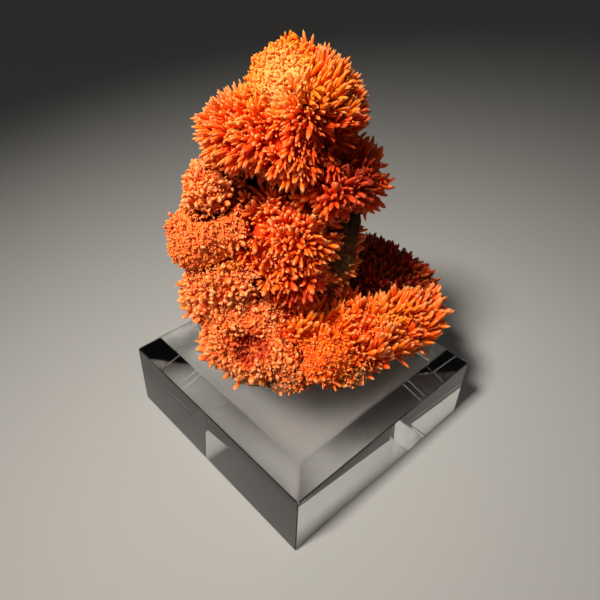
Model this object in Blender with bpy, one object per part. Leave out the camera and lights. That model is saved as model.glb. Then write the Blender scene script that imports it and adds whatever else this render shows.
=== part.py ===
"""Orange calcite crystals on a rock matrix, standing on a clear display block with a bevelled top.

Units are metres with +Z up. The origin is the centre of the block's underside. One corner of the
block points towards -Y, which is the front. Each crust of crystals that grew together is one closed
solid that reaches the tips of its crystals.
"""
import math
import random

import bmesh
import bpy
from mathutils import noise
from mathutils.bvhtree import BVHTree

MM = 0.001

# Display block
BLOCK_SIDE = 80 * MM
BLOCK_WALL_HEIGHT = 24 * MM
BLOCK_BEVEL_HEIGHT = 6 * MM
BLOCK_BEVEL_INSET = 6 * MM
BLOCK_EDGE_BREAK = 0.3 * MM
BLOCK_HEIGHT = BLOCK_WALL_HEIGHT + BLOCK_BEVEL_HEIGHT

# Clearances
GAP = 0.3 * MM
CUTTER_SWELL = 0.45 * MM
GROUND_CUTTER_SIZE = 4 * BLOCK_SIDE

# Surface
SKIN_VOXEL = 1.3 * MM
SKIN_SMOOTHING = 6
BALL_SUBDIVISIONS = 3
LUMP_SIZE = 9 * MM
FINE_LUMP_SIZE = 4 * MM
FINE_LUMP_SHARE = 0.4
CRUST_LUMPS = 1.1 * MM
ROCK_LUMPS = 2.2 * MM
ROCK_TRIANGLES = 1400
SEED = 7

# Crystal points on each crust
POINT_CLEARANCE = 4.2 * MM
POINT_REACH = 7.0 * MM
CRUST_DEPTH = 1.6 * MM
SHORTEST_POINT = 0.5
SMALLEST_FACE = 1.5 * MM * MM

# Lobes of the rock in millimetres: centre x, y, z, then radii along x, y, z
ROCK_LOBES = [
    (-6, -11, 36, 21, 16, 6.5),
    (8, -11, 36, 15, 14.5, 6.5),
    (27, 0, 37, 15, 12, 6),
    (-8, 5, 52, 15, 12, 18),
    (-2, 3, 72, 13, 12, 16),
    (7, 1, 68, 8, 10, 18),
    (-1, 3, 86, 12, 11, 12),
    (-4, 2, 102, 10, 10, 11),
    (-8, 4, 111, 6, 6, 7),
    (-18, -2, 100, 7, 8, 6),
    (-23, -3, 86, 7, 6, 6),
    (-26, -4, 72, 9, 9, 8),
    (-24, -6, 54, 9, 10, 12),
    (-22, -10, 42, 9, 9, 9),
    (-17, 6, 66, 14, 11, 20),
    (9, 3, 88, 8, 8, 7),
    (24, 17, 41, 13, 9, 8),
    (10, 8, 42, 14, 10, 8),
    (-4, 12, 58, 16, 11, 22),
    (-10, 15, 40, 22, 13, 12),
]

# Lobes of each crust, as for the rock, with the crust's triangle count and crystal height
CRUSTS = {
    "crown_calcite": {
        "lobes": [
            (-1.5, 0, 109, 13, 14, 12.5),
            (-7, 3, 113, 9, 9, 11),
            (-18, -3, 102.5, 11, 11, 9),
            (-3, -7, 100, 12, 10.5, 6.5),
            (-6, 9, 103, 14, 10, 11),
        ],
        "triangles": 440,
        "crystal": 3.0 * MM,
    },
    "right_flank_calcite": {
        "lobes": [
            (9, 3, 92, 10, 11, 7.5),
            (5, -7, 91, 9, 8, 5.5),
            (13, 4, 86, 6, 8, 7.5),
            (6, 12, 88, 9, 7, 8),
        ],
        "triangles": 250,
        "crystal": 2.8 * MM,
    },
    "shoulder_calcite": {
        "lobes": [(-27, -6, 88, 6.5, 8, 7.5), (-25, 2, 86, 8, 9, 8)],
        "triangles": 150,
        "crystal": 1.4 * MM,
    },
    "left_lobe_calcite": {
        "lobes": [
            (-30, -8, 74, 9.5, 9.5, 10),
            (-28, 3, 73, 9.5, 10, 10),
            (-22, -9, 79, 7.5, 6, 8),
        ],
        "triangles": 220,
        "crystal": 1.2 * MM,
    },
    "middle_cluster_calcite": {
        "lobes": [
            (-5, -6, 76, 12.5, 12, 11.5),
            (-6, -8, 66, 12, 10.5, 8),
            (-14, -5, 80, 8.5, 8.5, 7.5),
            (-17, -7, 70, 8, 8, 10),
        ],
        "triangles": 340,
        "crystal": 3.0 * MM,
    },
    "lower_left_calcite": {
        "lobes": [
            (-26, -9, 57.5, 10, 10, 10.5),
            (-20, -15, 44.5, 11, 9.5, 11),
            (-10, -19, 41, 12, 8.5, 8),
            (-26, 4, 56, 9.5, 11, 12),
            (-13, -12, 52, 8, 8, 7),
            (-25, -11, 65, 9, 8, 6.5),
            (-19, -11, 64, 7, 7.5, 8),
        ],
        "hollows": [(-19, -23, 51, 3.8, 4.5, 2.8)],
        "triangles": 350,
        "crystal": 1.5 * MM,
    },
    "ledge_front_calcite": {
        "lobes": [
            (4, -17, 41, 12, 9.5, 8),
            (17, -11, 44, 12, 9.5, 10),
            (-5, -15, 47, 7, 7, 6),
            (30, -2, 44, 11, 9, 8.5),
            (38, 4, 42.5, 7, 7, 6),
            (3, -2, 51, 11, 8, 8),
        ],
        "triangles": 370,
        "crystal": 3.4 * MM,
    },
    "ledge_rim_calcite": {
        "lobes": [
            (37, 15, 43, 8, 7, 7),
            (28, 21, 47, 9, 7, 8.5),
            (17, 25, 48.5, 9, 7, 8.5),
            (20, 11, 45, 13, 9, 7),
        ],
        "triangles": 270,
        "crystal": 2.6 * MM,
    },
    "back_calcite": {
        "lobes": [
            (-4, 16, 80, 15, 7, 12),
            (-9, 19, 64, 15, 8, 12),
            (-19, 13, 74, 10, 8, 11),
        ],
        "triangles": 270,
        "crystal": 2.2 * MM,
    },
}

# Colours: red, green, blue, roughness, transmission
ACRYLIC_LOOK = (0.95, 0.96, 0.96, 0.05, 1.0)
ROCK_LOOK = (0.20, 0.13, 0.07, 0.85, 0.0)
CALCITE_LOOK = (0.85, 0.20, 0.03, 0.35, 0.0)
PALE_CALCITE_LOOK = (0.85, 0.32, 0.14, 0.45, 0.0)
DARK_CALCITE_LOOK = (0.45, 0.06, 0.02, 0.40, 0.0)
CRUST_LOOKS = {
    "shoulder_calcite": PALE_CALCITE_LOOK,
    "left_lobe_calcite": PALE_CALCITE_LOOK,
    "lower_left_calcite": PALE_CALCITE_LOOK,
    "ledge_rim_calcite": DARK_CALCITE_LOOK,
    "back_calcite": DARK_CALCITE_LOOK,
}


def clear_scene():
    """Remove whatever the scene holds."""
    for thing in list(bpy.data.objects):
        bpy.data.objects.remove(thing, do_unlink=True)


def make_material(name, look):
    """A plain Principled material from colour, roughness and transmission."""
    red, green, blue, roughness, transmission = look
    material = bpy.data.materials.new(name)
    material.use_nodes = True
    shader = material.node_tree.nodes["Principled BSDF"]
    shader.inputs["Base Color"].default_value = (red, green, blue, 1)
    shader.inputs["Roughness"].default_value = roughness
    shader.inputs["Metallic"].default_value = 0
    shader.inputs["Transmission Weight"].default_value = transmission
    material.diffuse_color = (red, green, blue, 1)
    return material


def make_object(name, mesh):
    """Link a mesh into the scene as a named object."""
    thing = bpy.data.objects.new(name, mesh)
    bpy.context.scene.collection.objects.link(thing)
    return thing


def evaluated_copy(thing, name):
    """The mesh of an object with its modifiers applied."""
    graph = bpy.context.evaluated_depsgraph_get()
    graph.update()
    mesh = bpy.data.meshes.new_from_object(thing.evaluated_get(graph))
    mesh.name = name
    return mesh


def make_block():
    """The clear block: a square prism, a 45 degree bevel round the top and finely broken edges."""
    outer_radius = BLOCK_SIDE / math.sqrt(2)
    inner_radius = (BLOCK_SIDE - 2 * BLOCK_BEVEL_INSET) / math.sqrt(2)
    form = bmesh.new()
    bmesh.ops.create_circle(form, cap_ends=True, segments=4, radius=outer_radius)
    underside = form.faces[:]
    wall = bmesh.ops.extrude_face_region(form, geom=underside)
    wall_top = [v for v in wall["geom"] if isinstance(v, bmesh.types.BMVert)]
    bmesh.ops.translate(form, verts=wall_top, vec=(0, 0, BLOCK_WALL_HEIGHT))
    wall_face = [f for f in wall["geom"] if isinstance(f, bmesh.types.BMFace)]
    slope = bmesh.ops.extrude_face_region(form, geom=wall_face)
    bmesh.ops.delete(form, geom=wall_face, context="FACES_ONLY")
    slope_top = [v for v in slope["geom"] if isinstance(v, bmesh.types.BMVert)]
    bmesh.ops.translate(form, verts=slope_top, vec=(0, 0, BLOCK_BEVEL_HEIGHT))
    narrowing = inner_radius / outer_radius
    bmesh.ops.scale(form, verts=slope_top, vec=(narrowing, narrowing, 1))
    bmesh.ops.recalc_face_normals(form, faces=form.faces[:])
    bmesh.ops.bevel(form, geom=form.edges[:], offset=BLOCK_EDGE_BREAK, segments=1, affect="EDGES")
    mesh = bpy.data.meshes.new("acrylic_base")
    form.to_mesh(mesh)
    form.free()
    return make_object("acrylic_base", mesh)


def lobes_mesh(name, lobes):
    """Separate balls, one for each lobe."""
    form = bmesh.new()
    for x, y, z, rx, ry, rz in lobes:
        ball = bmesh.ops.create_icosphere(form, subdivisions=BALL_SUBDIVISIONS, radius=MM)
        bmesh.ops.scale(form, verts=ball["verts"], vec=(rx, ry, rz))
        bmesh.ops.translate(form, verts=ball["verts"], vec=(x * MM, y * MM, z * MM))
    mesh = bpy.data.meshes.new(name)
    form.to_mesh(mesh)
    form.free()
    return mesh


def lumpy_skin(name, lobes, lumps, triangles):
    """One closed skin round overlapping lobes, made lumpy and thinned to about the triangle count."""
    balls = make_object(name + "_balls", lobes_mesh(name + "_balls", lobes))
    skin = balls.modifiers.new("skin", "REMESH")
    skin.mode = "VOXEL"
    skin.voxel_size = SKIN_VOXEL
    smooth = balls.modifiers.new("smooth", "SMOOTH")
    smooth.iterations = SKIN_SMOOTHING
    fine = evaluated_copy(balls, name + "_fine")
    for vertex in fine.vertices:
        push = noise.noise(vertex.co / LUMP_SIZE)
        push += FINE_LUMP_SHARE * noise.noise(vertex.co / FINE_LUMP_SIZE)
        vertex.co += vertex.normal * push * lumps
    lumpy = make_object(name + "_lumpy", fine)
    thin = lumpy.modifiers.new("thin", "DECIMATE")
    thin.ratio = triangles / (2 * len(fine.polygons))
    result = evaluated_copy(lumpy, name)
    bpy.data.objects.remove(balls, do_unlink=True)
    bpy.data.objects.remove(lumpy, do_unlink=True)
    return result


def swollen(mesh, amount):
    """A copy of a mesh with each vertex moved out along its normal."""
    copy = mesh.copy()
    moves = [vertex.normal * amount for vertex in copy.vertices]
    for vertex, move in zip(copy.vertices, moves):
        vertex.co += move
    return copy


def cut(mesh, cutter_meshes, name):
    """The mesh with the cutters taken away, and only its largest body kept."""
    thing = make_object(name + "_blank", mesh)
    cutters = []
    for cutter_mesh in cutter_meshes:
        cutter = make_object(name + "_cutter", cutter_mesh)
        cutter.hide_render = True
        cutter.display_type = "WIRE"
        cutters.append(cutter)
        boolean = thing.modifiers.new("cut", "BOOLEAN")
        boolean.operation = "DIFFERENCE"
        boolean.solver = "EXACT"
        boolean.object = cutter
    result = evaluated_copy(thing, name)
    bpy.data.objects.remove(thing, do_unlink=True)
    for cutter in cutters:
        bpy.data.objects.remove(cutter, do_unlink=True)
    keep_largest_body(result)
    return result


def keep_largest_body(mesh):
    """Delete every loose body of the mesh except the one with the most volume."""
    form = bmesh.new()
    form.from_mesh(mesh)
    bmesh.ops.triangulate(form, faces=form.faces[:])
    bodies = []
    unseen = set(form.faces)
    while unseen:
        front = [unseen.pop()]
        body = []
        while front:
            face = front.pop()
            body.append(face)
            for edge in face.edges:
                for neighbour in edge.link_faces:
                    if neighbour in unseen:
                        unseen.remove(neighbour)
                        front.append(neighbour)
        bodies.append(body)
    bodies.sort(key=body_volume)
    for body in bodies[:-1]:
        bmesh.ops.delete(form, geom=body, context="FACES")
    form.to_mesh(mesh)
    form.free()


def body_volume(faces):
    """The volume inside a closed set of triangles."""
    total = 0.0
    for face in faces:
        a, b, c = (vertex.co for vertex in face.verts)
        total += a.dot(b.cross(c)) / 6
    return total


def tree_of(mesh):
    """A tree of a mesh's triangles for nearest points and rays."""
    form = bmesh.new()
    form.from_mesh(mesh)
    tree = BVHTree.FromBMesh(form)
    form.free()
    return tree


def raise_points(mesh, height, rock, others, dice):
    """Raise a crystal point on each outer face that has room in front of it."""
    own = tree_of(mesh)
    form = bmesh.new()
    form.from_mesh(mesh)
    form.normal_update()
    for face in form.faces[:]:
        centre = face.calc_center_median()
        normal = face.normal.copy()
        lift = height * dice.uniform(SHORTEST_POINT, 1)
        if face.calc_area() < SMALLEST_FACE:
            continue
        if rock.find_nearest(centre)[3] < CRUST_DEPTH:
            continue
        if any(tree.find_nearest(centre)[3] < POINT_CLEARANCE for tree in others):
            continue
        start = centre + normal * GAP
        if any(tree.ray_cast(start, normal, POINT_REACH)[0] for tree in [own, rock, *others]):
            continue
        poke = bmesh.ops.poke(form, faces=[face])
        poke["verts"][0].co = centre + normal * lift
    form.to_mesh(mesh)
    form.free()


def ground_cutter():
    """A large box whose top is where the rock stands, just clear of the block."""
    form = bmesh.new()
    bmesh.ops.create_cube(form, size=GROUND_CUTTER_SIZE)
    rise = BLOCK_HEIGHT + GAP - GROUND_CUTTER_SIZE / 2
    bmesh.ops.translate(form, verts=form.verts[:], vec=(0, 0, rise))
    mesh = bpy.data.meshes.new("ground_cutter")
    form.to_mesh(mesh)
    form.free()
    return mesh


def build_specimen():
    """The rock, flat where it stands on the block, and the crusts that grew on it."""
    dice = random.Random(SEED)
    ground = ground_cutter()
    rock_blank = lumpy_skin("rock_blank", ROCK_LOBES, ROCK_LUMPS, ROCK_TRIANGLES)
    rock = cut(rock_blank, [ground.copy()], "matrix_rock")

    crusts = {}
    earlier = []
    for name, crust in CRUSTS.items():
        blank = lumpy_skin(name + "_blank", crust["lobes"], CRUST_LUMPS, crust["triangles"])
        cutters = [swollen(rock, CUTTER_SWELL), ground.copy()]
        cutters += [swollen(other, CUTTER_SWELL) for other in earlier]
        if "hollows" in crust:
            cutters.append(lobes_mesh(name + "_hollow", crust["hollows"]))
        earlier.append(blank.copy())
        crusts[name] = cut(blank, cutters, name)

    rock_tree = tree_of(rock)
    trees = {name: tree_of(mesh) for name, mesh in crusts.items()}
    for name, mesh in crusts.items():
        others = [tree for other, tree in trees.items() if other != name]
        raise_points(mesh, CRUSTS[name]["crystal"], rock_tree, others, dice)

    finish(make_object("matrix_rock", rock), "matrix", ROCK_LOOK)
    for name, mesh in crusts.items():
        finish(make_object(name, mesh), name, CRUST_LOOKS.get(name, CALCITE_LOOK))


def finish(thing, material_name, look):
    """Give an object its one material."""
    thing.data.materials.clear()
    thing.data.materials.append(make_material(material_name, look))


clear_scene()
finish(make_block(), "acrylic", ACRYLIC_LOOK)
build_specimen()
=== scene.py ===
"""Orange calcite crystals on a rock matrix, resting on a clear display block: the looks.

Lengths are metres, and names that end in _MM hold millimetres. +Z is up and -Y is the front. The solid
crusts of the frame give each growth of crystals its place and its outer shape. Here every crust is grown
again as a core under the skin, with tufts of pointed crystals, petals and fine druse standing on it.
"""

import math

import bmesh
import bpy
import numpy as np
from mathutils import Matrix, Vector, noise
from mathutils.bvhtree import BVHTree


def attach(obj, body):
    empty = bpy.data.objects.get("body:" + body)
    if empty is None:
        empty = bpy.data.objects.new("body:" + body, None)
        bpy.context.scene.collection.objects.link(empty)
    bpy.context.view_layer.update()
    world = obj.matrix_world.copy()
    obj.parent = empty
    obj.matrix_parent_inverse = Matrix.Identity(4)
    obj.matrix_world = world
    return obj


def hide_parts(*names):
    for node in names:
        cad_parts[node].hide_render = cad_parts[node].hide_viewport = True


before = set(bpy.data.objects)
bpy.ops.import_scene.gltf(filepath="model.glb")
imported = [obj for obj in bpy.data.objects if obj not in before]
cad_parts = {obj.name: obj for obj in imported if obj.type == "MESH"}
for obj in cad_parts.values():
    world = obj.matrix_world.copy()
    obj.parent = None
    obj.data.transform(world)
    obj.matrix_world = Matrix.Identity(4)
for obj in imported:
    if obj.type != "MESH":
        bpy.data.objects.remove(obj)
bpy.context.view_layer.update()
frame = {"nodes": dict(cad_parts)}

MM = 0.001
SEED = 11

# Camera
CAMERA_AZIMUTH = math.radians(0.155)
CAMERA_ELEVATION = math.radians(37.6)
CAMERA_ROLL = math.radians(2.4)
CAMERA_DISTANCE = 178.9 * MM
CAMERA_AIM = (-1.83 * MM, 48.0 * MM)
CAMERA_LENS_MM = 33.93
CAMERA_SENSOR_MM = 36
CAMERA_NEAR = 5 * MM

# Skins and cores under the crystals
SKIN_VOXEL = 0.9 * MM
SKIN_SMOOTHING = 8
CLOSING = 3.0 * MM
CORE_SMOOTHING = 30
LUMP_SIZE = 6.5 * MM
LUMP_HEIGHT = 0.9 * MM
CORE_SHARE = 0.4
THIN_CORE = 0.7 * MM
# The core takes the colour of the crystals' roots, partly painted shade between the crystals
CORE_ALONG = 0.30
CORE_TINT = 0.4
CORE_GRAIN = 0.12 * MM
SHALLOW_CORE = 1.0 * MM
SHALLOW_CORE_ALONG = 0.60
RAY_START = 0.05 * MM
NOISE_GAIN = 1.6

# How open a place is: the number of rays, how far out they start, how far they reach and how far they lean
OPEN_RAYS = 12
OPEN_START = 1.0 * MM
OPEN_REACH = 16 * MM
OPEN_LEAN = 1.2
LEAST_OPEN = 0.06

# Tufts: the blur and width of the edge between two crusts and of the ridge between two hearts, the size
# left on an edge, on a ridge and in a small tuft's root, and the least share of a direction out of the skin
SCATTER_TRIES = 7
EDGE_BLUR = 0.7 * MM
EDGE_WIDTH = 3 * MM
EDGE_SIZE = 0.6
HEART_BLUR = 1.0 * MM
HEART_BLEND = 1.6 * MM
RIDGE_WIDTH = 4.5 * MM
RIDGE_SIZE = 0.78
ROOT_SIZE = 0.6
TUFT_FACING = 0.3
CRYSTAL_FACING = 0.1
TUFT_SPREAD = 0.7
TUFT_TINT = 0.45

# Crystals: the limits of their sizes, and how their length, width, place and turn vary within a tuft
SIZE_LIMITS = (0.45, 1.4)
GOLDEN_TURN = math.pi * (3 - math.sqrt(5))
TURN_SPREAD = 0.35
ROOT_RING = 0.16
CENTRE_LENGTH = 1.05
OUTER_LOSS = 0.22
WIDTH_SPREAD = 0.18
WIDTH_POWER = 0.6
BEND_SPREAD = 0.05
SIDE_RANGE = (0.86, 1.14)
SIDE_PAIR = (1.06, 0.88)

# How crystals grow, in tufts that radiate from one root. spacing parts the tufts, count is the crystals of
# a tuft, cone is its half angle, depth its root's depth under the skin, and length and radius are one
# crystal's. All are millimetres and degrees. radial, square and up weigh a tuft's direction away from its
# heart, straight out of the skin and upwards, lean is its random tilt, spread the random spread of sizes,
# flat a crystal's thickness for its width and missing the share of crystals left out.
STYLES = {
    "spike": {
        "spacing": 2.8, "count": 8, "cone": 24, "depth": 4.5, "length": 6.2, "radius": 0.58,
        "radial": 1.0, "square": 0.15, "up": 0.0, "lean": 0.14, "spread": 0.12, "flat": (0.6, 1.0),
        "missing": 0.04, "shape": "dogtooth",
    },
    "petal": {
        "spacing": 3.3, "count": 7, "cone": 36, "depth": 3.5, "length": 5.0, "radius": 0.74,
        "radial": 0.8, "square": 0.2, "up": 0.05, "lean": 0.26, "spread": 0.16, "flat": (0.5, 0.85),
        "missing": 0.10, "shape": "petal",
    },
    "blade": {
        "spacing": 3.5, "count": 8, "cone": 28, "depth": 4.6, "length": 6.6, "radius": 0.80,
        "radial": 0.8, "square": 0.15, "up": 0.45, "lean": 0.18, "spread": 0.16, "flat": (0.5, 0.85),
        "missing": 0.08, "shape": "petal",
    },
    "filler": {
        "spacing": 1.9, "count": 4, "cone": 44, "depth": 3.6, "length": 3.0, "radius": 0.46,
        "radial": 0.4, "square": 0.5, "up": 0.0, "lean": 0.3, "spread": 0.2, "flat": (0.6, 1.0),
        "missing": 0.05, "shape": "stub",
    },
    "scale": {
        "spacing": 2.7, "count": 5, "cone": 42, "depth": 2.3, "length": 3.2, "radius": 0.85,
        "radial": 0.7, "square": 0.3, "up": 0.2, "lean": 0.25, "spread": 0.2, "flat": (0.4, 0.7),
        "missing": 0.1, "shape": "blunt",
    },
    "druse": {
        "spacing": 1.05, "count": 4, "cone": 58, "depth": 1.0, "length": 1.3, "radius": 0.32,
        "radial": 0.1, "square": 0.6, "up": 0.0, "lean": 0.45, "spread": 0.38, "flat": (0.6, 1.0),
        "missing": 0.1, "shape": "stub",
    },
    "sugar": {
        "spacing": 1.1, "count": 4, "cone": 62, "depth": 1.0, "length": 1.5, "radius": 0.40,
        "radial": 0.1, "square": 0.6, "up": 0.0, "lean": 0.5, "spread": 0.42, "flat": (0.6, 1.0),
        "missing": 0.1, "shape": "stub",
    },
    "chip": {
        "spacing": 2.2, "count": 4, "cone": 62, "depth": 1.7, "length": 2.6, "radius": 0.62,
        "radial": 0.3, "square": 0.5, "up": 0.2, "lean": 0.5, "spread": 0.32, "flat": (0.3, 0.6),
        "missing": 0.2, "shape": "blunt",
    },
}

# Rings of a crystal: share of its length, share of its radius. Both ends are points.
SHAPES = {
    "dogtooth": [(0.35, 0.74), (0.64, 1.0), (0.87, 0.66)],
    "petal": [(0.32, 0.60), (0.64, 1.0), (0.88, 0.66)],
    "blunt": [(0.30, 0.66), (0.72, 1.0), (0.93, 0.66)],
    "stub": [(0.42, 1.0), (0.78, 0.72)],
}
SIDES = 6


def near(x, y, z, radius):
    """A zone of all points within a radius, in millimetres."""
    return lambda points: np.linalg.norm(points - np.array((x, y, z)) * MM, axis=1) < radius * MM


def outside(zone):
    """All points that are not in a zone."""
    return lambda points: ~zone(points)


def between(low, high):
    """A zone of all points between two heights in millimetres."""
    return lambda points: (points[:, 2] > low * MM) & (points[:, 2] < high * MM)


def both(first, second):
    """The points that are in two zones at once."""
    return lambda points: first(points) & second(points)


# Places on the specimen in millimetres
KNOB = near(-10, -1, 120, 9.5)
BARE_COLUMN = near(12, -6, 74, 8)
PLATY_FRONT = near(2, -30, 38, 16)
PIT = near(-15.5, -23.5, 48, 6)
LOWEST_RIM = between(34.5, 44)
HIGH_ROCK = between(44, 130)

# What grows where: the hearts in millimetres from which the tufts radiate, the styles with the zone that
# each keeps to, how many millimetres the crust's core lies under the skin, and where it lies shallow
GROWTHS = {
    "crown_calcite": {
        "hearts": [
            (-1.5, -6, 109), (-12, -3, 103), (-3, -5, 102), (5, -5, 103),
            (-15, 5, 101), (3, 6, 106), (-7, 12, 101),
        ],
        "styles": [("spike", outside(KNOB)), ("filler", None), ("sugar", KNOB)],
        "core": 3.0, "thin": KNOB,
    },
    "right_flank_calcite": {
        "hearts": [(8, -6, 92), (11, 2, 89), (6, 10, 90)],
        "styles": [("petal", None), ("filler", None)],
        "core": 3.0,
    },
    "shoulder_calcite": {
        "hearts": [(-22, -2, 84)],
        "styles": [("scale", None), ("druse", None)],
        "core": 0.9,
    },
    "left_lobe_calcite": {
        "hearts": [(-22, -2, 74)],
        "styles": [("druse", None), ("chip", near(-20, -16, 78, 9))],
        "core": 0.6,
    },
    "middle_cluster_calcite": {
        "hearts": [(-3, -9, 77), (-12, -4, 81), (-14, -6, 69), (-4, -9, 67)],
        "styles": [("petal", None), ("filler", None)],
        "core": 2.8,
    },
    "lower_left_calcite": {
        "hearts": [(-20, -6, 55), (-15, -10, 45)],
        "styles": [("druse", None), ("chip", None), ("scale", None)],
        "core": 0.7,
    },
    "ledge_front_calcite": {
        "hearts": [(18, -8, 33), (1, -9, 40)],
        "styles": [
            ("blade", outside(PLATY_FRONT)), ("filler", None),
            ("chip", PLATY_FRONT), ("druse", PLATY_FRONT),
        ],
        "core": 3.0, "thin": PLATY_FRONT,
    },
    "ledge_rim_calcite": {
        "hearts": [(24, 12, 36)],
        "styles": [("petal", None), ("filler", None)],
        "core": 2.8,
    },
    "back_calcite": {
        "hearts": [(-6, 8, 78), (-10, 10, 64), (-16, 5, 73)],
        "styles": [("petal", None), ("filler", None)],
        "core": 2.8,
    },
    "matrix_rock": {
        "hearts": [(-5, 0, 60)],
        "styles": [
            ("druse", LOWEST_RIM), ("chip", LOWEST_RIM), ("druse", PIT),
            ("petal", both(HIGH_ROCK, outside(BARE_COLUMN))),
            ("filler", both(HIGH_ROCK, outside(BARE_COLUMN))),
        ],
    },
}
# The material of each crust that doesn't take the bright calcite; the darker one is painted shade
SLOTS = {
    "shoulder_calcite": "calcite_druse",
    "left_lobe_calcite": "calcite_druse",
    "lower_left_calcite": "calcite_druse",
    "ledge_rim_calcite": "calcite_deep",
    "back_calcite": "calcite_deep",
    "matrix_rock": "calcite_druse",
}

# Hollows pressed into the skin, in millimetres: x, y, z, radius, depth
HOLLOWS = [
    (3, -14, 106, 9, 4.0),
    (10, -10, 102, 8, 4.5),
    (-15.5, -23.5, 48, 4.8, 5.5),
]

# Painted light and shade on the calcite, in millimetres: x, y, z, radius, amount. Positive amounts paint
# the glow of light through lit crystals, yellower up to 1 and paler up to 2 as on the sugary knob; negative
# amounts paint shade on the side away from the key light, under overhangs and in hollows, redder down to -1
# and darker down to -2
PAINTED_GLOW_AND_SHADE = [
    (-5, -11, 116, 9, 1.0),
    (5, -8, 117, 9, 0.8),
    (-11, -4, 120, 11, 1.9),
    (11, -11, 97, 14, -1.7),
    (14, -2, 90, 11, -1.2),
    (1, -17, 104, 7, -0.8),
    (-15.5, -23.5, 48, 5.5, -3.2),
    (-19, -11, 110, 8, 0.4),
    (26, -9, 51, 8, 0.9),
    (0, -15, 51, 6, 0.7),
    (-23, -14, 71, 5, 0.6),
    (-4, -15, 109, 6, -1.0),
    (5, -12, 111, 5, -0.9),
    (9, -10, 106, 7, -0.8),
    (10, -14, 48, 12, 0.45),
    (-2, -16, 62, 8, -1.5),
    (-22, -5, 85, 9, -0.6),
    (-16, -14, 101, 8, -0.5),
]

# Rock: sizes and heights of its lumps, sharp ridges, grain and thin layers, in millimetres
ROCK_VOXEL = 0.6 * MM
ROCK_FOOT_HEIGHT = 31 * MM
ROCK_FOOT_BLEND = 1.5 * MM
LUMP = (5, 0.6)
SHARP_RIDGE = (1.8, 0.6)
GRAIN = (0.8, 0.25)
LAYER_LENGTH, LAYER_THICKNESS, LAYER_HEIGHT = 7, 1.1, 1.3
RIM_TOP = 42 * MM
RIM_BLEND = 3 * MM

# Lights: azimuth, elevation, distance, size, power, beam and colour
KEY_LIGHT = (-43, 54, 0.5, 0.09, 0.52, 62, (1.0, 0.96, 0.91))
FILL_LIGHT = (-10, 40, 0.8, 0.6, 0.2, 150, (0.98, 0.98, 1.0))
LIGHT_AIM = Vector((0, 0, 70 * MM))
FLOOR_HALF = 4
FLOOR_DROP = 0.2 * MM
SURROUND = (0.80, 0.80, 0.80, 1)
SURROUND_STRENGTH = 0.06


def unit(vectors):
    """Vectors scaled to length 1."""
    return vectors / np.maximum(np.linalg.norm(vectors, axis=-1, keepdims=True), 1e-12)


def arrays_of(mesh):
    """(vertex places, triangles, vertex normals) of a mesh."""
    mesh.calc_loop_triangles()
    places = np.empty(len(mesh.vertices) * 3, np.float32)
    mesh.vertices.foreach_get("co", places)
    normals = np.empty(len(mesh.vertices) * 3, np.float32)
    mesh.vertices.foreach_get("normal", normals)
    triangles = np.empty(len(mesh.loop_triangles) * 3, np.int32)
    mesh.loop_triangles.foreach_get("vertices", triangles)
    places, normals = (numbers.reshape(-1, 3).astype(float) for numbers in (places, normals))
    return places, triangles.reshape(-1, 3), normals


def tree_of(parts):
    """One tree of several (places, triangles) for rays and nearest points."""
    places, triangles, start = [], [], 0
    for part_places, part_triangles in parts:
        places.append(part_places)
        triangles.append(part_triangles + start)
        start += len(part_places)
    return BVHTree.FromPolygons(np.concatenate(places).tolist(), np.concatenate(triangles).tolist())


def new_object(name, mesh):
    """Link a mesh into the scene as a named object."""
    thing = bpy.data.objects.new(name, mesh)
    bpy.context.scene.collection.objects.link(thing)
    return thing


def remeshed(node, voxel, smoothing):
    """Arrays of a solid's mesh, remeshed evenly and smoothed."""
    thing = new_object("blank", node.data.copy())
    remesh = thing.modifiers.new("remesh", "REMESH")
    remesh.mode = "VOXEL"
    remesh.voxel_size = voxel
    smooth = thing.modifiers.new("smooth", "SMOOTH")
    smooth.iterations = smoothing
    graph = bpy.context.evaluated_depsgraph_get()
    mesh = bpy.data.meshes.new_from_object(thing.evaluated_get(graph))
    arrays = arrays_of(mesh)
    bpy.data.objects.remove(thing, do_unlink=True)
    bpy.data.meshes.remove(mesh)
    return arrays


def union_skin(parts):
    """One even skin round several solids, with its relief, as arrays."""
    form = bmesh.new()
    for part in parts:
        form.from_mesh(part.data)
    mesh = bpy.data.meshes.new("union")
    form.to_mesh(mesh)
    form.free()
    thing = new_object("union", mesh)
    places, triangles, normals = remeshed(thing, SKIN_VOXEL, 2)
    thing.data = mesh_from("swollen", places + normals * CLOSING, triangles, {})
    places, triangles, normals = remeshed(thing, SKIN_VOXEL, SKIN_SMOOTHING)
    bpy.data.objects.remove(thing, do_unlink=True)
    return relieved(places - normals * CLOSING, triangles, normals)


def relieved(places, triangles, normals):
    """A skin with lumps raised and hollows pressed into it."""
    push = swell(places, LUMP_SIZE) * LUMP_HEIGHT
    for x, y, z, radius, depth in HOLLOWS:
        away = np.linalg.norm(places - np.array((x, y, z)) * MM, axis=1) / (radius * MM)
        push -= depth * MM * np.clip(1 - away**2, 0, 1)
    places = places + normals * push[:, None]
    return places, triangles, vertex_normals(places, triangles)


def vertex_normals(places, triangles):
    """Smooth normals at the vertices of a mesh."""
    a, b, c = (places[triangles[:, k]] for k in range(3))
    faces = np.cross(b - a, c - a)
    normals = np.zeros(places.shape)
    for k in range(3):
        np.add.at(normals, triangles[:, k], faces)
    return unit(normals)


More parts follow.
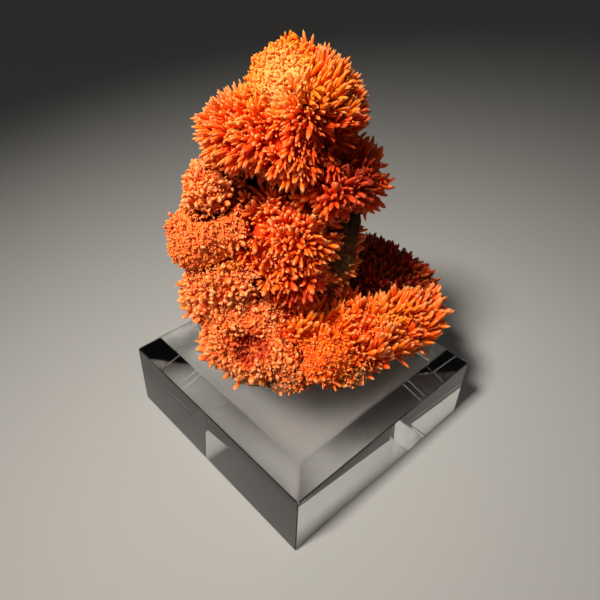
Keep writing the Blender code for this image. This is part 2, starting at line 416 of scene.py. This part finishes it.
def mesh_from(name, places, triangles, values):
    """A mesh from arrays, with one float attribute for each entry of values."""
    mesh = bpy.data.meshes.new(name)
    mesh.vertices.add(len(places))
    mesh.vertices.foreach_set("co", places.astype(np.float32).ravel())
    mesh.loops.add(3 * len(triangles))
    mesh.loops.foreach_set("vertex_index", triangles.astype(np.int32).ravel())
    mesh.polygons.add(len(triangles))
    mesh.polygons.foreach_set("loop_start", np.arange(0, 3 * len(triangles), 3, dtype=np.int32))
    for key, numbers in values.items():
        attribute = mesh.attributes.new(key, "FLOAT", "POINT")
        attribute.data.foreach_set("value", numbers.astype(np.float32))
    mesh.update(calc_edges=True)
    return mesh


def spaced(points, spacing):
    """Which points stay when each is at least the spacing away from those kept before it."""
    cells = {}
    kept = []
    around = [(i, j, k) for i in (-1, 0, 1) for j in (-1, 0, 1) for k in (-1, 0, 1)]
    limit = spacing * spacing
    grid = np.floor(points / spacing).astype(int).tolist()
    for index, (point, (a, b, c)) in enumerate(zip(points.tolist(), grid)):
        x, y, z = point
        crowded = False
        for i, j, k in around:
            for u, v, w in cells.get((a + i, b + j, c + k), ()):
                if (u - x) ** 2 + (v - y) ** 2 + (w - z) ** 2 < limit:
                    crowded = True
                    break
            if crowded:
                break
        if not crowded:
            cells.setdefault((a, b, c), []).append(point)
            kept.append(index)
    return np.array(kept, int)


def scatter(places, triangles, normals, spacing, dice):
    """Points at least the spacing apart over a mesh, with the smooth normals there."""
    a, b, c = (places[triangles[:, k]] for k in range(3))
    area = np.linalg.norm(np.cross(b - a, c - a), axis=1) / 2
    count = int(SCATTER_TRIES * area.sum() / spacing**2)
    pick = dice.choice(len(triangles), count, p=area / area.sum())
    u, v = dice.random((2, count, 1))
    over = u + v > 1
    u, v = np.where(over, 1 - u, u), np.where(over, 1 - v, v)
    points = a[pick] * (1 - u - v) + b[pick] * u + c[pick] * v
    corner_normals = [normals[triangles[pick, k]] for k in range(3)]
    leaning = corner_normals[0] * (1 - u - v) + corner_normals[1] * u + corner_normals[2] * v
    kept = spaced(points, spacing)
    return points[kept], unit(leaning[kept])


def openness(points, directions, tree, dice):
    """From 0, shut in, to 1, open: the share of rays round each direction that get away."""
    spread = unit(dice.normal(size=(OPEN_RAYS, 3)))
    result = np.empty(len(points))
    for index, (point, direction) in enumerate(zip(points, directions)):
        rays = unit(spread + OPEN_LEAN * direction)
        start = Vector(point + direction * OPEN_START)
        free = sum(tree.ray_cast(start, Vector(ray), OPEN_REACH)[0] is None for ray in rays)
        result[index] = free / OPEN_RAYS
    return result


def across_of(directions):
    """Two unit vectors square to each direction and to each other."""
    upright = np.where(np.abs(directions[:, 2:3]) < 0.9, [[0, 0, 1.0]], [[1.0, 0, 0]])
    across = unit(np.cross(upright, directions))
    return across, np.cross(directions, across)


def crystals(roots, directions, lengths, radii, style, values, dice):
    """Places, triangles and values of pointed crystals with bent, slightly uneven sides."""
    rings = SHAPES[style["shape"]]
    count = len(roots)
    across, beside = across_of(directions)
    flatness = dice.uniform(*style["flat"], (count, 1))
    turn = dice.uniform(0, 2 * math.pi, (count, 1))
    wide = across * np.cos(turn) + beside * np.sin(turn)
    thin = (beside * np.cos(turn) - across * np.sin(turn)) * flatness
    bend = across * dice.normal(0, BEND_SPREAD, (count, 1))
    bend = bend + beside * dice.normal(0, BEND_SPREAD, (count, 1))
    bend *= lengths[:, None]
    angles = 2 * math.pi * np.arange(SIDES) / SIDES
    rows = [roots[:, None, :]]
    along = [np.zeros((count, 1))]
    for share, width in rings:
        middle = roots + directions * (lengths * share)[:, None] + bend * share**2
        reach = radii[:, None] * width * dice.uniform(*SIDE_RANGE, (count, SIDES))
        reach *= np.where(np.arange(SIDES) % 2, SIDE_PAIR[1], SIDE_PAIR[0])
        ring = middle[:, None, :]
        ring = ring + wide[:, None, :] * (reach * np.cos(angles))[:, :, None]
        ring = ring + thin[:, None, :] * (reach * np.sin(angles))[:, :, None]
        rows.append(ring)
        along.append(np.full((count, SIDES), share))
    rows.append((roots + directions * lengths[:, None] + bend)[:, None, :])
    along.append(np.ones((count, 1)))
    places = np.concatenate(rows, axis=1)
    each = places.shape[1]
    template = crystal_triangles(len(rings))
    triangles = template[None] + (np.arange(count) * each)[:, None, None]
    filled = {key: np.repeat(numbers, each) for key, numbers in values.items()}
    filled["along"] = np.concatenate(along, axis=1).ravel()
    return places.reshape(-1, 3), triangles.reshape(-1, 3), filled


def crystal_triangles(ring_count):
    """Triangles of one crystal: a point, rings of SIDES vertices and a point."""
    triangles = []
    last = 1 + ring_count * SIDES
    for side in range(SIDES):
        after = (side + 1) % SIDES
        triangles.append((0, 1 + after, 1 + side))
        for ring in range(ring_count - 1):
            low, high = 1 + ring * SIDES, 1 + (ring + 1) * SIDES
            triangles.append((low + side, low + after, high + after))
            triangles.append((low + side, high + after, high + side))
        top = 1 + (ring_count - 1) * SIDES
        triangles.append((top + side, top + after, last))
    return np.array(triangles, int)


def swell(points, size):
    """Smooth noise between about -1 and 1 at points, with lumps of the given size."""
    return np.array([noise.noise(Vector(point / size)) for point in points]) * NOISE_GAIN


def painted_glow_and_shade_at(points):
    """How much painted glow (above 0) or painted shade (below 0) lies on the calcite at each point."""
    result = np.zeros(len(points))
    for x, y, z, radius, amount in PAINTED_GLOW_AND_SHADE:
        away = np.linalg.norm(points - np.array((x, y, z)) * MM, axis=1) / (radius * MM)
        result += amount * np.clip(1 - away, 0, 1) ** 0.5 * (away < 1)
    return result


def kept_outward(directions, normals, least):
    """Directions turned so far towards the normals that none points into the skin."""
    facing = (directions * normals).sum(-1, keepdims=True)
    return unit(directions + normals * np.clip(least - facing, 0, None))


def at_least(least, share):
    """A factor that rises from the least to 1 as the share goes from 0 to 1."""
    return least + (1 - least) * share


def tuft_axes(style, hearts, points, normals, dice):
    """The direction of each tuft, and how far it is from the seam between two hearts, 0 on it to 1."""
    places = np.array(hearts) * MM
    blurred = points + dice.normal(0, HEART_BLUR, points.shape)
    distances = np.linalg.norm(blurred[:, None] - places[None], axis=2)
    weights = np.exp((distances.min(1, keepdims=True) - distances) / HEART_BLEND)
    radial = unit((weights[..., None] * unit(points[:, None] - places[None])).sum(1))
    lean = dice.normal(0, style["lean"], points.shape)
    axes = style["radial"] * radial + style["square"] * normals + lean
    axes[:, 2] += style["up"]
    if len(hearts) == 1:
        ridge = np.ones(len(points))
    else:
        order = np.sort(distances, axis=1)
        ridge = np.clip((order[:, 1] - order[:, 0]) / RIDGE_WIDTH, 0, 1)
    return kept_outward(unit(axes), normals, TUFT_FACING), ridge


def grow(style, hearts, points, normals, edges, free, dice):
    """Tufts of one style on chosen points. edges is 0 at the crust's edge and 1 well inside it."""
    axes, ridge = tuft_axes(style, hearts, points, normals, dice)
    grade = np.exp(dice.normal(0, style["spread"] * TUFT_SPREAD, len(points)))
    grade *= at_least(EDGE_SIZE, edges) * at_least(RIDGE_SIZE, ridge)
    depth = style["depth"] * MM * at_least(ROOT_SIZE, grade)

    each = style["count"]
    shape = (len(points), each)
    share = np.sqrt((np.arange(each) + dice.random(shape)) / each)
    tilt = math.radians(style["cone"]) * share
    turn = np.arange(each) * GOLDEN_TURN + dice.uniform(0, 2 * math.pi, (len(points), 1))
    turn = turn + dice.normal(0, TURN_SPREAD, shape)
    across, beside = across_of(axes)
    aside = across[:, None] * np.cos(turn)[..., None] + beside[:, None] * np.sin(turn)[..., None]
    directions = axes[:, None] * np.cos(tilt)[..., None] + aside * np.sin(tilt)[..., None]
    directions = kept_outward(directions, normals[:, None], CRYSTAL_FACING)
    ring = ROOT_RING * style["spacing"] * MM * share
    roots = (points - axes * depth[:, None])[:, None] + aside * ring[..., None]
    sizes = np.exp(dice.normal(0, style["spread"], shape)) * grade[:, None]
    sizes = np.clip(sizes * (CENTRE_LENGTH - OUTER_LOSS * share**2), *SIZE_LIMITS)
    widths = np.exp(dice.normal(0, WIDTH_SPREAD, shape)) * sizes**WIDTH_POWER

    kept = (dice.random(shape) > style["missing"]).ravel()
    tint = TUFT_TINT * dice.random((len(points), 1)) + (1 - TUFT_TINT) * dice.random(shape)
    values = {
        "tint": tint.ravel()[kept],
        "open": np.repeat(free, each)[kept],
        "painted_glow_and_shade": np.repeat(painted_glow_and_shade_at(points), each)[kept],
    }
    lengths = (style["length"] * MM * sizes).ravel()[kept]
    radii = (style["radius"] * MM * widths).ravel()[kept]
    roots, directions = (vectors.reshape(-1, 3)[kept] for vectors in (roots, directions))
    return crystals(roots, directions, lengths, radii, style, values, dice)


def core_of(skin, growth, tree, dice):
    """A crust's core, kept under the shared skin but never deeper than a share of its own thickness."""
    places, triangles, normals = skin
    deepest = np.full(len(places), growth["core"] * MM)
    if "thin" in growth:
        deepest[growth["thin"](places)] = THIN_CORE
    own = tree_of([(places, triangles)])
    sunk = places.copy()
    for index, (place, normal) in enumerate(zip(places, normals)):
        hit = own.ray_cast(Vector(place - normal * RAY_START), Vector(-normal))[3]
        depth = deepest[index] if hit is None else min(deepest[index], CORE_SHARE * hit)
        skin_place, skin_normal = tree.find_nearest(Vector(place))[:2]
        if (skin_place - Vector(place)).dot(skin_normal) < depth:
            sunk[index] = skin_place - skin_normal * depth
    sunk += normals * dice.normal(0, CORE_GRAIN, (len(places), 1))
    values = {
        "along": np.where(deepest < SHALLOW_CORE, SHALLOW_CORE_ALONG, CORE_ALONG),
        "tint": np.full(len(places), CORE_TINT),
        "open": openness(places, normals, tree, dice),
        "painted_glow_and_shade": painted_glow_and_shade_at(places),
    }
    return sunk, triangles, values


def joined(parts):
    """One set of arrays from several (places, triangles, values)."""
    start = 0
    places, triangles = [], []
    for part in parts:
        places.append(part[0])
        triangles.append(part[1] + start)
        start += len(part[0])
    values = {key: np.concatenate([part[2][key] for part in parts]) for key in parts[0][2]}
    return np.concatenate(places), np.concatenate(triangles), values


class Nodes:
    """Short calls that add and link the nodes of one material."""

    def __init__(self, name):
        self.material = bpy.data.materials.new(name)
        self.material.use_nodes = True
        self.tree = self.material.node_tree
        self.shader = self.tree.nodes["Principled BSDF"]

    def link(self, source, socket):
        self.tree.links.new(source, socket)

    def put(self, socket, value):
        """Link a socket to an output, or set its own value."""
        if isinstance(value, bpy.types.NodeSocket):
            self.link(value, socket)
        elif isinstance(value, tuple) and len(value) == 3 and socket.type == "RGBA":
            socket.default_value = (*value, 1)
        else:
            socket.default_value = value

    def attribute(self, name):
        node = self.tree.nodes.new("ShaderNodeAttribute")
        node.attribute_name = name
        return node.outputs["Fac"]

    def position(self):
        return self.tree.nodes.new("ShaderNodeTexCoord").outputs["Object"]

    def height(self):
        node = self.tree.nodes.new("ShaderNodeSeparateXYZ")
        self.link(self.position(), node.inputs[0])
        return node.outputs["Z"]

    def noise(self, scale, detail, roughness=0.55):
        node = self.tree.nodes.new("ShaderNodeTexNoise")
        node.inputs["Scale"].default_value = scale
        node.inputs["Detail"].default_value = detail
        node.inputs["Roughness"].default_value = roughness
        self.link(self.position(), node.inputs["Vector"])
        return node.outputs["Fac"]

    def mix(self, factor, first, second):
        node = self.tree.nodes.new("ShaderNodeMix")
        node.data_type = "RGBA"
        self.put(node.inputs[0], factor)
        self.put(node.inputs[6], first)
        self.put(node.inputs[7], second)
        return node.outputs[2]

    def math(self, operation, first, second):
        node = self.tree.nodes.new("ShaderNodeMath")
        node.operation = operation
        self.put(node.inputs[0], first)
        self.put(node.inputs[1], second)
        return node.outputs[0]

    def ramp(self, factor, stops):
        node = self.tree.nodes.new("ShaderNodeValToRGB")
        elements = node.color_ramp.elements
        while len(elements) < len(stops):
            elements.new(0.5)
        for element, (place, colour) in zip(elements, stops):
            element.position = place
            element.color = (*colour, 1)
        self.put(node.inputs["Fac"], factor)
        return node.outputs["Color"]

    def fade(self, factor, low, high):
        """0 below low and 1 above high."""
        node = self.tree.nodes.new("ShaderNodeMapRange")
        self.put(node.inputs["Value"], factor)
        node.inputs["From Min"].default_value = low
        node.inputs["From Max"].default_value = high
        return node.outputs["Result"]

    def bump(self, height, strength, distance):
        node = self.tree.nodes.new("ShaderNodeBump")
        node.inputs["Strength"].default_value = strength
        node.inputs["Distance"].default_value = distance
        self.put(node.inputs["Height"], height)
        self.link(node.outputs["Normal"], self.shader.inputs["Normal"])


def calcite_material(name, stops, roughness, scatter_weight):
    """Translucent calcite, dark at the root and pale at the tip, with painted shade where it is shut in
    and painted glow and shade at listed places.
    """
    nodes = Nodes(name)
    along = nodes.attribute("along")
    tint = nodes.attribute("tint")
    open_share = nodes.attribute("open")
    glow_and_shade_share = nodes.attribute("painted_glow_and_shade")
    cloud = nodes.noise(260, 3)
    uneven = nodes.math("MULTIPLY", nodes.math("SUBTRACT", cloud, 0.5), 0.35)
    body = nodes.ramp(nodes.math("ADD", along, uneven), stops)
    body = nodes.mix(nodes.math("MULTIPLY", nodes.fade(tint, 0.55, 1.0), 0.45), body, WARM)
    body = nodes.mix(nodes.math("MULTIPLY", nodes.fade(tint, 0.45, 0.0), 0.40), body, RED)
    # Painted light: yellower and paler where light glows through the crystals, redder and darker where
    # shade falls
    body = nodes.mix(nodes.math("MULTIPLY", nodes.fade(glow_and_shade_share, 0.0, 1.0), 0.75), body, WARM)
    body = nodes.mix(nodes.math("MULTIPLY", nodes.fade(glow_and_shade_share, 0.0, -1.0), 0.6), body, RED)
    body = nodes.mix(nodes.math("MULTIPLY", nodes.fade(glow_and_shade_share, 0.8, 1.8), 0.6), body, PALE)
    body = nodes.mix(nodes.math("MULTIPLY", nodes.fade(glow_and_shade_share, -0.8, -1.8), 0.75), body, PAINTED_SHADE_RED)
    # Painted shade: darker red where the place is shut in among crystals and crusts
    body = nodes.mix(nodes.math("MULTIPLY", nodes.fade(open_share, 0.62, 0.1), 0.85), body, PAINTED_SHADE_RED)
    nodes.put(nodes.shader.inputs["Base Color"], body)
    gloss = nodes.math("ADD", nodes.math("MULTIPLY", tint, 0.2), nodes.fade(along, 0.9, 0.3))
    nodes.put(nodes.shader.inputs["Roughness"], nodes.math("ADD", gloss, roughness))
    nodes.shader.inputs["Specular IOR Level"].default_value = 0.18
    nodes.shader.inputs["Subsurface Weight"].default_value = scatter_weight
    nodes.shader.inputs["Subsurface Radius"].default_value = (1.0, 0.35, 0.12)
    nodes.shader.inputs["Subsurface Scale"].default_value = 1.3 * MM
    nodes.shader.inputs["IOR"].default_value = 1.55
    nodes.bump(nodes.noise(2600, 2), 0.2, 0.05 * MM)
    return nodes.material


# From root to tip the calcite pales: the pale tips are its own colour, and the dark roots are partly its
# own colour and partly painted shade between the crystals
BRIGHT_STOPS = [
    (0.20, (0.64, 0.028, 0.001)),
    (0.50, (0.92, 0.085, 0.002)),
    (0.76, (0.97, 0.15, 0.006)),
    (0.97, (0.98, 0.33, 0.12)),
]
# A darker copy of the calcite for the crusts behind the ledge and at the back: painted shade where the
# crown and column shadow them
SHADED_STOPS = [
    (0.20, (0.05, 0.002, 0.001)),
    (0.50, (0.20, 0.008, 0.001)),
    (0.78, (0.36, 0.025, 0.004)),
    (0.97, (0.50, 0.09, 0.035)),
]
DRUSE_STOPS = [
    (0.12, (0.34, 0.020, 0.003)),
    (0.45, (0.86, 0.12, 0.014)),
    (0.75, (0.96, 0.23, 0.045)),
    (1.00, (0.98, 0.38, 0.15)),
]
# Each calcite's colours from root to tip, its roughness and how much of the light scatters inside it
CALCITE_LOOKS = {
    "calcite_bright": (BRIGHT_STOPS, 0.28, 0.6),
    "calcite_druse": (DRUSE_STOPS, 0.42, 0.5),
    "calcite_deep": (SHADED_STOPS, 0.3, 0.4),
}
WARM = (1.0, 0.245, 0.003)
PALE = (1.0, 0.44, 0.13)
RED = (0.80, 0.025, 0.001)
# Painted shade: the dark red put where shade falls
PAINTED_SHADE_RED = (0.12, 0.003, 0.001)
ROCK_STOPS = [
    (0.36, (0.020, 0.006, 0.003)),
    (0.50, (0.11, 0.042, 0.012)),
    (0.60, (0.20, 0.100, 0.026)),
    (0.72, (0.36, 0.19, 0.075)),
]
# Painted shade colour of the rock where it is shut in
ROCK_PAINTED_SHADE = (0.15, 0.012, 0.004)
ROCK_RIM = (0.50, 0.17, 0.075)


def rock_material():
    """Brown, tan and olive rock, with painted shade where it is shut in."""
    nodes = Nodes("matrix")
    broad = nodes.noise(90, 5, 0.6)
    fine = nodes.noise(700, 6, 0.65)
    mottle = nodes.math("ADD", nodes.math("MULTIPLY", broad, 0.6), nodes.math("MULTIPLY", fine, 0.4))
    colour = nodes.ramp(mottle, ROCK_STOPS)
    # Painted shade: darker where the rock is shut in under the crystals
    painted_shade = nodes.math("MULTIPLY", nodes.fade(nodes.attribute("open"), 0.6, 0.1), 0.85)
    colour = nodes.mix(painted_shade, colour, ROCK_PAINTED_SHADE)
    rim = nodes.fade(nodes.height(), RIM_TOP + 3 * MM, RIM_TOP - 4 * MM)
    colour = nodes.mix(nodes.math("MULTIPLY", rim, nodes.fade(fine, 0.35, 0.6)), colour, ROCK_RIM)
    nodes.put(nodes.shader.inputs["Base Color"], colour)
    nodes.shader.inputs["Roughness"].default_value = 0.85
    nodes.shader.inputs["Specular IOR Level"].default_value = 0.15
    nodes.bump(fine, 0.6, 0.4 * MM)
    return nodes.material


def acrylic_material():
    """Polished clear acrylic with a faint uneven polish."""
    nodes = Nodes("acrylic")
    nodes.shader.inputs["Base Color"].default_value = (0.97, 0.975, 0.975, 1)
    polish = nodes.math("MULTIPLY", nodes.fade(nodes.noise(60, 4), 0.45, 0.75), 0.03)
    nodes.put(nodes.shader.inputs["Roughness"], polish)
    nodes.shader.inputs["IOR"].default_value = 1.49
    nodes.shader.inputs["Transmission Weight"].default_value = 1.0
    return nodes.material


def floor_material():
    """A plain pale floor."""
    nodes = Nodes("floor")
    nodes.shader.inputs["Base Color"].default_value = (0.40, 0.39, 0.365, 1)
    nodes.shader.inputs["Roughness"].default_value = 0.7
    return nodes.material


def make_rock(node, tree, dice):
    """The rock with a finer, rougher surface and a layered rim. Its flat foot stays where it is."""
    places, triangles, normals = remeshed(node, ROCK_VOXEL, 2)
    rough = np.array([rock_push(Vector(place)) for place in places])
    rise = np.clip((places[:, 2] - ROCK_FOOT_HEIGHT) / ROCK_FOOT_BLEND, 0, 1)
    values = {"open": openness(places, normals, tree, dice)}
    places = places + normals * (rough * rise)[:, None]
    return new_object("rock_surface", mesh_from("rock_surface", places, triangles, values))


def rock_push(point):
    """How far the rock stands out at a place: lumps, pits and the thin layers of its rim."""
    forms = (LUMP, SHARP_RIDGE, GRAIN)
    broad, ridge, fine = (noise.noise(point / (size * MM)) * height for size, height in forms)
    flat = Vector((point.x / LAYER_LENGTH, point.y / LAYER_LENGTH, point.z / LAYER_THICKNESS)) / MM
    layers = noise.noise(flat) * LAYER_HEIGHT * min(max((RIM_TOP - point.z) / RIM_BLEND, 0), 1)
    return (broad - abs(ridge) + fine + layers) * MM


def away_from(azimuth, elevation):
    """The unit vector towards an azimuth, 0 at the front and rising to the right, and an elevation."""
    outward = Vector((math.sin(azimuth), -math.cos(azimuth), 0)) * math.cos(elevation)
    return outward + Vector((0, 0, math.sin(elevation)))


def make_camera():
    """The camera from its angles, distance and aim."""
    back = away_from(CAMERA_AZIMUTH, CAMERA_ELEVATION)
    level = Vector((math.cos(CAMERA_AZIMUTH), math.sin(CAMERA_AZIMUTH), 0))
    upright = back.cross(level)
    right = level * math.cos(CAMERA_ROLL) + upright * math.sin(CAMERA_ROLL)
    up = upright * math.cos(CAMERA_ROLL) - level * math.sin(CAMERA_ROLL)
    sideways, height = CAMERA_AIM
    place = level * sideways + Vector((0, 0, height)) + back * CAMERA_DISTANCE
    data = bpy.data.cameras.new("camera")
    data.lens = CAMERA_LENS_MM
    data.sensor_width = CAMERA_SENSOR_MM
    data.clip_start = CAMERA_NEAR
    camera = bpy.data.objects.new("camera", data)
    turn = Matrix((right, up, back)).transposed().to_4x4()
    camera.matrix_world = Matrix.Translation(place) @ turn
    bpy.context.scene.collection.objects.link(camera)
    bpy.context.scene.camera = camera


def area_light(name, azimuth, elevation, distance, size, power, beam, colour):
    """A square soft light that faces the specimen, with its angles in degrees. beam is its spread."""
    away = away_from(math.radians(azimuth), math.radians(elevation))
    data = bpy.data.lights.new(name, "AREA")
    data.size = size
    data.energy = power
    data.spread = math.radians(beam)
    data.color = colour
    light = bpy.data.objects.new(name, data)
    light.location = LIGHT_AIM + away * distance
    light.rotation_euler = away.to_track_quat("Z", "Y").to_euler()
    bpy.context.scene.collection.objects.link(light)


def make_studio():
    """Pale floor, soft key light from the upper left, weak fill and a dim even surround."""
    form = bmesh.new()
    bmesh.ops.create_grid(form, x_segments=1, y_segments=1, size=FLOOR_HALF)
    bmesh.ops.translate(form, verts=form.verts[:], vec=(0, 0, -FLOOR_DROP))
    mesh = bpy.data.meshes.new("floor")
    form.to_mesh(mesh)
    form.free()
    floor = new_object("floor", mesh)
    floor.data.materials.append(floor_material())
    area_light("key", *KEY_LIGHT)
    area_light("fill", *FILL_LIGHT)
    world = bpy.data.worlds.new("studio")
    world.use_nodes = True
    background = world.node_tree.nodes["Background"]
    background.inputs["Color"].default_value = SURROUND
    background.inputs["Strength"].default_value = SURROUND_STRENGTH
    world.cycles_visibility.transmission = False
    bpy.context.scene.world = world
    bpy.context.scene.view_settings.view_transform = "Standard"


def owner_of(points, owners, dice):
    """For each point the index of the solid it lies on, and how far inside that solid's area it is."""
    distances = np.array([
        [tree.find_nearest(Vector(point))[3] for point in points] for tree in owners.values()
    ])
    distances += dice.normal(0, 0.5 * EDGE_BLUR, distances.shape)
    order = np.sort(distances, axis=0)
    return distances.argmin(0), np.clip((order[1] - order[0]) / EDGE_WIDTH, 0, 1)


def grow_all(nodes, skin, solid, dice):
    """The crystals of every crust, as lists of arrays by node name."""
    owners = {name: tree_of([arrays_of(nodes[name].data)[:2]]) for name in GROWTHS}
    grown = {name: [] for name in GROWTHS}
    for style_name, style in STYLES.items():
        points, normals = scatter(*skin, style["spacing"] * MM, dice)
        owner, edges = owner_of(points, owners, dice)
        for index, (name, growth) in enumerate(GROWTHS.items()):
            for growing, zone in growth["styles"]:
                if growing != style_name:
                    continue
                chosen = owner == index
                if zone:
                    chosen &= zone(points)
                free = openness(points[chosen], normals[chosen], solid, dice)
                clear = free > LEAST_OPEN
                chosen = np.flatnonzero(chosen)[clear]
                chosen_places = (points[chosen], normals[chosen], edges[chosen])
                grown[name].append(grow(style, growth["hearts"], *chosen_places, free[clear], dice))
    return grown


def make_crystals(name, parts, material):
    """One crust's core and crystals as one piece, or the crystals that stand on the bare rock."""
    on_rock = name == "matrix_rock"
    title = "matrix_druse" if on_rock else name.replace("_calcite", "_crystals")
    piece = new_object(title, mesh_from(title, *joined(parts)))
    piece.data.materials.append(material)
    if not on_rock:
        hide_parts(name)
    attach(piece, "root")


def build():
    """Everything that stands for the specimen and its block."""
    dice = np.random.default_rng(SEED)
    nodes = frame["nodes"]
    looks = {name: calcite_material(name, *look) for name, look in CALCITE_LOOKS.items()}

    skin = union_skin([nodes[name] for name in GROWTHS])
    solid = tree_of([skin[:2]])
    for name, parts in grow_all(nodes, skin, solid, dice).items():
        if name != "matrix_rock":
            blank = relieved(*remeshed(nodes[name], SKIN_VOXEL, CORE_SMOOTHING))
            parts.insert(0, core_of(blank, GROWTHS[name], solid, dice))
        slot = SLOTS.get(name, "calcite_bright")
        make_crystals(name, parts, looks[slot])

    rock = make_rock(nodes["matrix_rock"], solid, dice)
    rock.data.materials.append(rock_material())
    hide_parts("matrix_rock")
    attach(rock, "root")

    block = nodes["acrylic_base"]
    block.data.materials.clear()
    block.data.materials.append(acrylic_material())


build()
make_studio()
make_camera()
